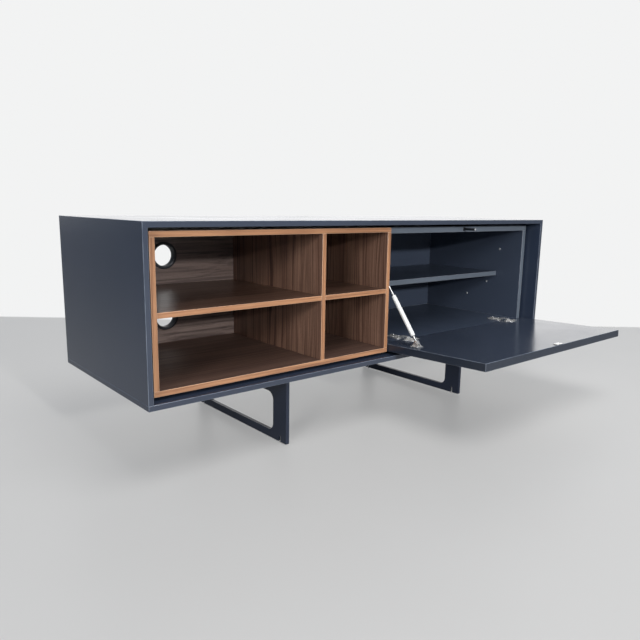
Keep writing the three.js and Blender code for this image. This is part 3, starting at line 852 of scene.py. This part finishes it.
class AddShelfFittings(bpy.types.Operator):
    """The pins that the shelf rests on, and the caps in the spare holes of the right wall"""

    bl_idname = "cabinet.add_shelf_fittings"
    bl_label = "Shelf pins and caps"

    def execute(self, context):
        for side, inward in (("left", X), ("right", -X)):
            for end in ("front", "rear"):
                node = f"shelf_pin_{side}_{end}"
                place, length, radius = turning_place(node, inward)
                profile = [(0, 0), (radius - 0.5, 0), (radius, 0.6), (radius, length - 0.7),
                           (radius - 0.7, length), (0, length)]
                stand_for(node, "rod", turned(profile, 32, place))
        for number in (1, 2, 3):
            node = f"blanking_cap_{number}"
            place, length, radius = turning_place(node, X)
            profile = [(0, 0.5), (0.9, 0.45), (1.1, 0), (radius - 1.4, 0.05),
                       (radius - 0.5, 0.35), (radius, 1.0), (radius, 1.2), (2.3, 1.2),
                       (2.3, length - 0.4), (1.9, length), (0, length)]
            stand_for(node, "head", turned(profile, 32, place))
        return {"FINISHED"}


class AddPushLatch(bpy.types.Operator):
    """The sleeve in the carcass's top board, the plunger with its magnet, and the strike plate"""

    bl_idname = "cabinet.add_push_latch"
    bl_label = "Push latch"

    def execute(self, context):
        place, length, _ = turning_place("latch_sleeve", Y)
        sleeve = [(4.1, 0.5), (4.6, 0), (5.8, 0), (6.6, 0.6), (6.6, 1.5), (5.2, 1.5),
                  (5.2, length), (0, length), (0, length - 1.5), (4.1, length - 1.5), (4.1, 0.5)]
        stand_for("latch_sleeve", "tube", turned(sleeve, 48, place))

        place, length, _ = turning_place("latch_plunger", Y)
        core, rib, first_rib, rib_pitch = 3.5, 3.8, 5, 3
        plunger = [(0, 0), (core, 0), (rib, 0.5)]
        for number in range(3):
            start = first_rib + number * rib_pitch
            plunger += [(rib, start), (core, start + 0.4), (core, start + 1.2), (rib, start + 1.6)]
        plunger += [(rib, length - 0.5), (rib - 0.4, length), (0, length)]
        stand_for("latch_plunger", "rod", turned(plunger, 48, place))

        place, length, _ = turning_place("latch_magnet", Y)
        magnet = [(0, 0.3), (1.6, 0.3), (1.8, 0), (3.2, 0), (3.9, 0.6), (3.9, length), (0, length)]
        stand_for("latch_magnet", "tip", turned(magnet, 48, place))
        self.add_strike_plate(context.scene.cabinet_sizes)
        return {"FINISHED"}

    def add_strike_plate(self, sizes):
        bm = softened_plate("latch_strike_plate", Y, corner=0.003, corner_steps=6,
                            width=sizes.metal_arris, steps=2, matrix=FLAP_SHUT)
        stand_for("latch_strike_plate", "plate", moved(bm, FLAP_OPEN))
        low, high = box_in("latch_strike_plate", FLAP_SHUT)
        centre = (low + high) / 2
        add_screws("strike_plate_screws", "flap",
                   [(centre.x + reach * MM, high.y, centre.z) for reach in (-10, 10)],
                   Y, 2.2, 0.5, FLAP_OPEN)


class AddFlap(bpy.types.Operator):
    """The drop-down flap, bored for its two hinge cups"""

    bl_idname = "cabinet.add_flap"
    bl_label = "Flap"

    def execute(self, context):
        bm = softened_board("flap_door", FLAP_SHUT)
        # The narrow edges are marked to take the flap's darker edge tone, painted shade.
        band = bm.faces.layers.float.new("front_band")
        for face in bm.faces:
            face[band] = 0.0 if abs(face.normal.y) > 0.5 else 1.0
        panel = stand_for("flap_door", "panel", moved(bm, FLAP_OPEN))
        panel.data.materials[0] = bpy.data.materials["Flap lacquer"]
        return {"FINISHED"}


class AddHinges(bpy.types.Operator):
    """Two concealed hinges: a cup in the flap, a cranked arm, and a plate on the carcass floor"""

    bl_idname = "cabinet.add_hinges"
    bl_label = "Hinges"

    def execute(self, context):
        for side in ("left", "right"):
            self.add_cup(side)
            self.add_arm(side)
            self.add_plate(side, context.scene.cabinet_sizes)
        return {"FINISHED"}

    def add_cup(self, side):
        node = f"hinge_cup_{side}"
        low, high = box_in(node, FLAP_SHUT)
        bm = softened_fitting(
            node, lambda edge: all(vert.co.y > high.y - TOUCHING for vert in edge.verts), FLAP_SHUT)
        stand_for(node, "pressing", moved(bm, FLAP_OPEN))
        centre = (low + high) / 2
        add_screws(f"hinge_cup_screws_{side}", "flap",
                   [(centre.x + reach * MM, high.y, centre.z) for reach in (-24, 24)],
                   Y, 3.4, 1.2, FLAP_OPEN)

    def add_arm(self, side):
        node = f"hinge_arm_{side}"
        low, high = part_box(node)
        stand_for(node, "channel", softened_fitting(node, across_x, width=0.0005))
        centre_x = (low.x + high.x) / 2
        plate_thickness, arm_height = 2.8, 14.5
        flat_top = low.z + (plate_thickness + arm_height) * MM
        add_screws(f"hinge_arm_screws_{side}", "cabinet",
                   [(centre_x, low.y + reach * MM, flat_top) for reach in (45, 66)], Z, 3.0, 1.4)
        radius, reach, arris = 1.5, 7.4, 0.2
        pin = turned([(0, -reach), (radius - arris, -reach), (radius, arris - reach),
                      (radius, reach - arris), (radius - arris, reach), (0, reach)], 24,
                     pointing(Vector((centre_x, FLAP_PIVOT.y, FLAP_PIVOT.z)), X))
        add_piece(f"hinge_knuckle_pin_{side}", pin, "cabinet", "polished_steel")

    def add_plate(self, side, sizes):
        node = f"hinge_plate_{side}"
        stand_for(node, "base", softened_plate(node, Z, corner=0.006, corner_steps=8,
                                               width=0.0005, steps=sizes.arris_steps))
        low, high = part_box(node)
        centre = (low + high) / 2
        add_screws(f"hinge_plate_screws_{side}", "cabinet",
                   [(centre.x + reach * MM, centre.y, high.z) for reach in (-11.5, 11.5)],
                   Z, 3.6, 1.3)


class AddGasStay(bpy.types.Operator):
    """The gas stay: its white tube, rod, end eyes, pins and the brackets at both ends"""

    bl_idname = "cabinet.add_gas_stay"
    bl_label = "Gas stay"

    def execute(self, context):
        self.add_tube()
        self.add_rod()
        for node in ("stay_tube_eye", "stay_rod_eye"):
            bm = softened_fitting(node, across_x, OFF_STAY)
            stand_for(node, "fitting", moved(bm, ALONG_STAY))
        self.add_pins()
        self.add_brackets()
        return {"FINISHED"}

    def add_tube(self):
        low, high = box_in("stay_tube", OFF_STAY)
        start, end = low.z / MM, high.z / MM
        radius = (high.x - low.x) / 2 / MM
        bore, mouth, guide = 5.6, 3.3, 6
        profile = [
            (0, start), (radius - 1.4, start), (radius - 0.4, start + 0.5), (radius, start + 1.6),
            (radius, end - 7), (radius - 0.45, end - 6.4), (radius - 0.45, end - 5.6),
            (radius, end - 5), (radius, end - 2), (radius - 0.5, end - 0.7),
            (radius - 1.8, end), (mouth, end), (mouth, end - guide), (bore, end - guide),
            (bore, start + 2), (0, start + 2)]
        stand_for("stay_tube", "cylinder", turned(profile, 64, ALONG_STAY))

    def add_rod(self):
        low, high = box_in("stay_rod", OFF_STAY)
        start, end = low.z / MM, high.z / MM
        piston = (high.x - low.x) / 2 / MM
        profile = [(0, start), (piston - 0.4, start), (piston, start + 0.4), (piston, start + 3.6),
                   (piston - 0.4, start + 4), (3, start + 4), (3, end), (0, end)]
        stand_for("stay_rod", "shaft", turned(profile, 48, ALONG_STAY))

    def add_pins(self):
        for node in ("stay_lower_pin", "stay_upper_pin"):
            place, length, _ = turning_place(node, X)
            if node == "stay_lower_pin":
                profile = [(0, 0), (3.2, 0), (3.8, 0.35), (3.8, 0.7), (2.5, 0.7),
                           (2.5, length - 0.7), (3.8, length - 0.7), (3.8, length - 0.35),
                           (3.2, length), (0, length)]
            else:
                profile = [(0, 0), (2.3, 0), (2.5, 0.3), (2.5, length - 1), (3.8, length - 1),
                           (3.8, length - 0.4), (3.3, length), (0, length)]
            stand_for(node, "rivet", turned(profile, 40, place))

    def add_brackets(self):
        bm = softened_fitting("stay_flap_bracket", across_x, FLAP_SHUT)
        stand_for("stay_flap_bracket", "clevis", moved(bm, FLAP_OPEN))
        low, high = box_in("stay_flap_bracket", FLAP_SHUT)
        centre = (low + high) / 2
        base_top = low.y + 1.8 * MM
        add_screws("stay_flap_bracket_screws", "flap",
                   [(centre.x + reach * MM, base_top, centre.z + rise * MM)
                    for reach in (-8.9, 8.9) for rise in (-9, 9)], Y, 2.5, 1.0, FLAP_OPEN)

        stand_for("stay_wall_bracket", "plate", softened_fitting("stay_wall_bracket"))
        low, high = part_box("stay_wall_bracket")
        centre = (low + high) / 2
        add_screws("stay_wall_bracket_screws", "cabinet",
                   [(high.x, centre.y, centre.z + rise * MM) for rise in (-13, 13)], X, 3.0, 1.0)


# ------------------------------------------------------------------ stage

class AddStage(bpy.types.Operator):
    """Camera, pale floor and surround, and three soft lights"""

    bl_idname = "cabinet.add_stage"
    bl_label = "Camera, floor and lights"

    FLOOR_REACH = 20
    LIGHTS = (  # name, setting that holds the power, place and width
        ("Front light", "front_light", (-0.75, -5.05, 1.67), 0.22),
        ("Side light", "side_light", (-3.75, -2.17, 1.60), 0.9),
        ("Overhead light", "overhead_light", (-0.2, -1.3, 3.2), 2.2))
    LIGHTS_AIM = Vector((0.1, 0.1, 0.35))

    def execute(self, context):
        stage = context.scene.cabinet_stage
        context.scene.view_settings.view_transform = "Standard"
        self.add_camera(context.scene, stage)
        self.add_floor(stage)
        self.add_surround(context.scene, stage)
        for name, setting, place, width in self.LIGHTS:
            self.add_light(name, place, getattr(stage, setting), width)
        return {"FINISHED"}

    def add_camera(self, scene, stage):
        data = bpy.data.cameras.new("Camera")
        data.lens = stage.camera_lens
        data.sensor_width = 36
        camera = bpy.data.objects.new("Camera", data)
        scene.collection.objects.link(camera)
        camera.location = stage.camera_place
        turn = (Matrix.Rotation(-stage.camera_heading, 4, "Z")
                @ Matrix.Rotation(math.radians(90) - stage.camera_pitch, 4, "X")
                @ Matrix.Rotation(stage.camera_roll, 4, "Z"))
        camera.rotation_euler = turn.to_euler()
        scene.camera = camera

    def add_floor(self, stage):
        bm = bmesh.new()
        bmesh.ops.create_grid(bm, x_segments=1, y_segments=1, size=self.FLOOR_REACH)
        mesh = bpy.data.meshes.new("Floor")
        bm.to_mesh(mesh)
        bm.free()
        floor = bpy.data.objects.new("Floor", mesh)
        bpy.context.scene.collection.objects.link(floor)
        mesh.materials.append(self.floor_material(stage))

    def floor_material(self, stage):
        material, tree, shader = start_material("Pale floor")
        coordinates = object_coordinates(tree)
        away = along_heading(tree, coordinates, stage.camera_heading)
        blur, fade = 0.03, 1.6
        wall = remap(tree, away, stage.backdrop_start, stage.backdrop_start + blur)
        reach = add_node(tree, "ShaderNodeVectorMath", {0: coordinates},
                         operation="LENGTH").outputs["Value"]
        sweep = remap(tree, reach, stage.sweep_start, stage.sweep_start + fade)
        pale = arithmetic(tree, "MAXIMUM", arithmetic(tree, "MAXIMUM", wall, sweep),
                          stage.floor_lift)
        backdrop = arithmetic(
            tree, "MULTIPLY", pale,
            add_node(tree, "ShaderNodeLightPath").outputs["Is Camera Ray"])
        mottle = remap(tree, noise(tree, coordinates, 3.0, 4.0), 0.3, 0.7, 0.0, 0.06)
        tone = mix_colour(tree, mottle, opaque(stage.floor_tone), (0.7, 0.7, 0.7, 1))
        tree.links.new(tone, shader.inputs["Base Color"])
        shader.inputs["Roughness"].default_value = 0.42
        shader.inputs["Specular IOR Level"].default_value = 0.45
        glow = add_node(tree, "ShaderNodeEmission", {"Color": opaque(stage.surround_tone)})
        blend = add_node(tree, "ShaderNodeMixShader", {0: backdrop, 1: shader.outputs[0],
                                                       2: glow.outputs[0]})
        tree.links.new(blend.outputs[0], tree.nodes["Material Output"].inputs["Surface"])
        return material

    def add_surround(self, scene, stage):
        world = bpy.data.worlds.new("Pale surround")
        world.use_nodes = True
        tree = world.node_tree
        direction = object_coordinates(tree)
        away = along_heading(tree, direction, stage.camera_heading)
        height = add_node(tree, "ShaderNodeSeparateXYZ", {0: direction}).outputs["Z"]
        wall = arithmetic(tree, "MULTIPLY", remap(tree, away, 0.45, 0.85),
                          remap(tree, height, 0.75, 0.35))
        glow = opaque(stage.glow * channel for channel in stage.glow_tone)
        room = mix_colour(tree, wall, opaque(stage.room_tone), glow)
        seen = add_node(tree, "ShaderNodeLightPath").outputs["Is Camera Ray"]
        tone = mix_colour(tree, seen, room, opaque(stage.surround_tone))
        tree.links.new(tone, tree.nodes["Background"].inputs["Color"])
        scene.world = world

    def add_light(self, name, place, power, width):
        data = bpy.data.lights.new(name, "AREA")
        data.shape = "DISK"
        data.size = width
        data.energy = power
        light = bpy.data.objects.new(name, data)
        light.location = place
        aim = self.LIGHTS_AIM - Vector(place)
        light.rotation_euler = aim.to_track_quat("-Z", "Y").to_euler()
        light.visible_camera = False
        bpy.context.scene.collection.objects.link(light)


# ------------------------------------------------------------------ panel and registration

BUILDERS = (AddStage, AddCasing, AddLegs, AddWalnutModule, AddCableOutlets, AddCarcass,
            AddShelfFittings, AddPushLatch, AddFlap, AddHinges, AddGasStay)


class CabinetPanel(bpy.types.Panel):
    """Lists the cabinet's pieces and the settings they are built with."""

    bl_idname = "VIEW3D_PT_media_cabinet"
    bl_label = "Media Cabinet"
    bl_space_type = "VIEW_3D"
    bl_region_type = "UI"
    bl_category = "Cabinet"

    def draw(self, context):
        for builder in BUILDERS:
            self.layout.operator(builder.bl_idname)
        for group in GROUPS:
            settings = getattr(context.scene, group)
            for key in settings.__annotations__:
                self.layout.prop(settings, key)


CLASSES = (*GROUPS.values(), *BUILDERS, CabinetPanel)


def register():
    for cls in CLASSES:
        bpy.utils.register_class(cls)
    for name, group in GROUPS.items():
        setattr(bpy.types.Scene, name, PointerProperty(type=group))


def unregister():
    for name in GROUPS:
        delattr(bpy.types.Scene, name)
    for cls in reversed(CLASSES):
        bpy.utils.unregister_class(cls)


def main():
    register()
    for builder in BUILDERS:
        category, name = builder.bl_idname.split(".")
        getattr(getattr(bpy.ops, category), name)()


if __name__ == "__main__":
    main()
